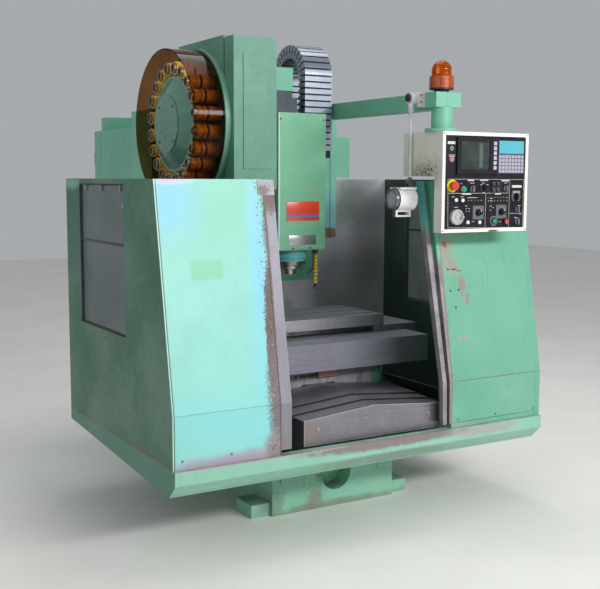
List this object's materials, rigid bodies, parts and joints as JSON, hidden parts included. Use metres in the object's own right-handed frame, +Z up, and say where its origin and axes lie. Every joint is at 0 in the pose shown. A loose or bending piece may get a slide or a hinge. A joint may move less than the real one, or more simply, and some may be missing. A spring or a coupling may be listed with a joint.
{
  "type": "vertical machining center",
  "caption": "Vertical machining center with open splash guard, side drum tool magazine, travelling table and head, cable chain and swivelling pendant control.",
  "frame": {"origin": "centre of the underside of the base casting", "axes": "+X to the right seen from the front, +Y to the back, +Z up"},
  "size_m": [1.882, 2.265, 2.183],
  "materials": {
    "green_paint": "worn satin",
    "mint_paint": "bleached satin",
    "teal_paint": "satin",
    "cream_paint": "satin, oil spatter",
    "bare_steel": "worn",
    "dull_steel": "dull, stained",
    "rusty_steel": "rusted",
    "film_glass": "dusty",
    "clear_shroud": "smoke tinted",
    "yellow_plastic": "oily",
    "black_plastic": "satin",
    "amber_dome": "gloss",
    "screen_glass": "gloss",
    "key_plastic": "satin",
    "red_plastic": "satin",
    "button_green": "satin",
    "brass": "worn"
  },
  "bodies": {
    "frame": {"base_casting": "green_paint", "column": "green_paint", "column_covers": "green_paint", "drip_pan": "green_paint", "left_side_panel": "green_paint", "left_front_panel": "mint_paint", "left_window": "film_glass", "left_edge_strip": "bare_steel", "corner_bracket": "rusty_steel", "right_side_panel": "green_paint", "right_front_panel": "green_paint", "right_window": "film_glass", "right_edge_strip": "bare_steel", "rear_splash_sheet": "dull_steel", "way_cover_front": "dull_steel", "magazine_carrier": "green_paint", "magazine_cover": "green_paint", "magazine_ring": "green_paint", "magazine_shroud": "clear_shroud", "electrical_cabinet": "green_paint", "cabinet_fan_box": "green_paint", "pendant_arm": "green_paint", "lamp_bracket": "cream_paint", "beacon_base": "black_plastic", "beacon_dome": "amber_dome"},
    "cover_section": {"way_cover_middle": "dull_steel"},
    "saddle_unit": {"saddle": "green_paint", "saddle_apron": "dull_steel", "table_wing_covers": "dull_steel", "way_cover_rear": "dull_steel"},
    "table_unit": {"table": "dull_steel"},
    "head": {"head_casting": "green_paint", "head_cover": "green_paint", "spindle_housing": "teal_paint", "spindle_motor": "green_paint", "coolant_pipe": "brass"},
    "spindle_unit": {"spindle": "bare_steel"},
    "chain": {"cable_chain": "dull_steel"},
    "drum": {"magazine_drum": "green_paint", "tool_pots": "yellow_plastic", "pot_sockets": "black_plastic"},
    "arm": {"change_arm": "bare_steel"},
    "door_left": {"cabinet_door_left": "green_paint"},
    "door_right": {"cabinet_door_right": "green_paint"},
    "lamp_rod": {"lamp_stem": "cream_paint"},
    "lamp": {"lamp_head": "cream_paint"},
    "reflector": {"beacon_reflector": "bare_steel"},
    "pendant": {"pendant_post": "green_paint", "pendant_box": "cream_paint", "panel_face": "black_plastic", "display_bezel": "black_plastic", "display_screen": "screen_glass", "key_panel": "key_plastic"},
    "stop_button": {"emergency_stop": "red_plastic"},
    "start_push": {"start_button": "button_green"},
    "hold_push": {"hold_button": "red_plastic"},
    "mode_dial": {"mode_knob": "black_plastic"},
    "feed_dial": {"feed_knob": "black_plastic"},
    "rapid_dial": {"rapid_knob": "black_plastic"},
    "wheel": {"handwheel": "key_plastic"}
  },
  "joints": [
    {"name": "saddle_slide", "type": "slide", "parent": "frame", "child": "saddle_unit", "axis": [0, 1, 0], "range_m": [-0.19, 0.2]},
    {"name": "cover_slide", "type": "slide", "parent": "frame", "child": "cover_section", "axis": [0, 1, 0], "range_m": [-0.095, 0.1]},
    {"name": "table_slide", "type": "slide", "parent": "saddle_unit", "child": "table_unit", "axis": [1, 0, 0], "range_m": [-0.25, 0.25]},
    {"name": "head_slide", "type": "slide", "parent": "frame", "child": "head", "axis": [0, 0, 1], "range_m": [-0.06, 0.34]},
    {"name": "chain_slide", "type": "slide", "parent": "frame", "child": "chain", "axis": [0, 0, 1], "range_m": [-0.03, 0.17]},
    {"name": "spindle_spin", "type": "hinge", "parent": "head", "child": "spindle_unit", "pos_m": [0, -0.185, 1.1], "axis": [0, 0, 1], "continuous": true},
    {"name": "drum_spin", "type": "hinge", "parent": "frame", "child": "drum", "pos_m": [0, -0.185, 1.754], "axis": [1, 0, 0], "continuous": true},
    {"name": "arm_swing", "type": "hinge", "parent": "frame", "child": "arm", "pos_m": [-0.278, -0.185, 1.365], "axis": [0, 0, 1], "range_deg": [0, 22]},
    {"name": "left_door_swing", "type": "hinge", "parent": "frame", "child": "door_left", "pos_m": [-0.5, 1.193, 1.1], "axis": [0, 0, 1], "range_deg": [0, 110]},
    {"name": "right_door_swing", "type": "hinge", "parent": "frame", "child": "door_right", "pos_m": [0.5, 1.193, 1.1], "axis": [0, 0, -1], "range_deg": [0, 110]},
    {"name": "lamp_swing", "type": "hinge", "parent": "frame", "child": "lamp_rod", "pos_m": [0.25, -0.821, 1.866], "axis": [-1, 0, 0], "range_deg": [-25, 25]},
    {"name": "lamp_tilt", "type": "hinge", "parent": "lamp_rod", "child": "lamp", "pos_m": [0.25, -0.821, 1.503], "axis": [0, 1, 0], "range_deg": [-10, 40]},
    {"name": "reflector_spin", "type": "hinge", "parent": "frame", "child": "reflector", "pos_m": [0.32, -0.945, 1.97], "axis": [0, 0, 1], "continuous": true},
    {"name": "pendant_swivel", "type": "hinge", "parent": "frame", "child": "pendant", "pos_m": [0.322, -0.949, 1.77], "axis": [0, 0, 1], "range_deg": [-90, 0]},
    {"name": "stop_travel", "type": "slide", "parent": "pendant", "child": "stop_button", "axis": [0, 1, 0], "range_m": [0, 0.005], "stiffness_N_per_m": 600},
    {"name": "start_travel", "type": "slide", "parent": "pendant", "child": "start_push", "axis": [0, 1, 0], "range_m": [0, 0.004], "stiffness_N_per_m": 400},
    {"name": "hold_travel", "type": "slide", "parent": "pendant", "child": "hold_push", "axis": [0, 1, 0], "range_m": [0, 0.004], "stiffness_N_per_m": 400},
    {"name": "mode_turn", "type": "hinge", "parent": "pendant", "child": "mode_dial", "pos_m": [0.507, -1.024, 1.477], "axis": [0, -1, 0], "range_deg": [-120, 120]},
    {"name": "feed_turn", "type": "hinge", "parent": "pendant", "child": "feed_dial", "pos_m": [0.474, -1.024, 1.368], "axis": [0, -1, 0], "range_deg": [-135, 135]},
    {"name": "rapid_turn", "type": "hinge", "parent": "pendant", "child": "rapid_dial", "pos_m": [0.607, -1.024, 1.37], "axis": [0, -1, 0], "range_deg": [-45, 45]},
    {"name": "wheel_turn", "type": "hinge", "parent": "pendant", "child": "wheel", "pos_m": [0.348, -1.024, 1.35], "axis": [0, -1, 0], "continuous": true}
  ],
  "couplings": [
    {"joint": "cover_slide", "follows": "saddle_slide", "ratio": 0.5},
    {"joint": "chain_slide", "follows": "head_slide", "ratio": 0.5}
  ]
}
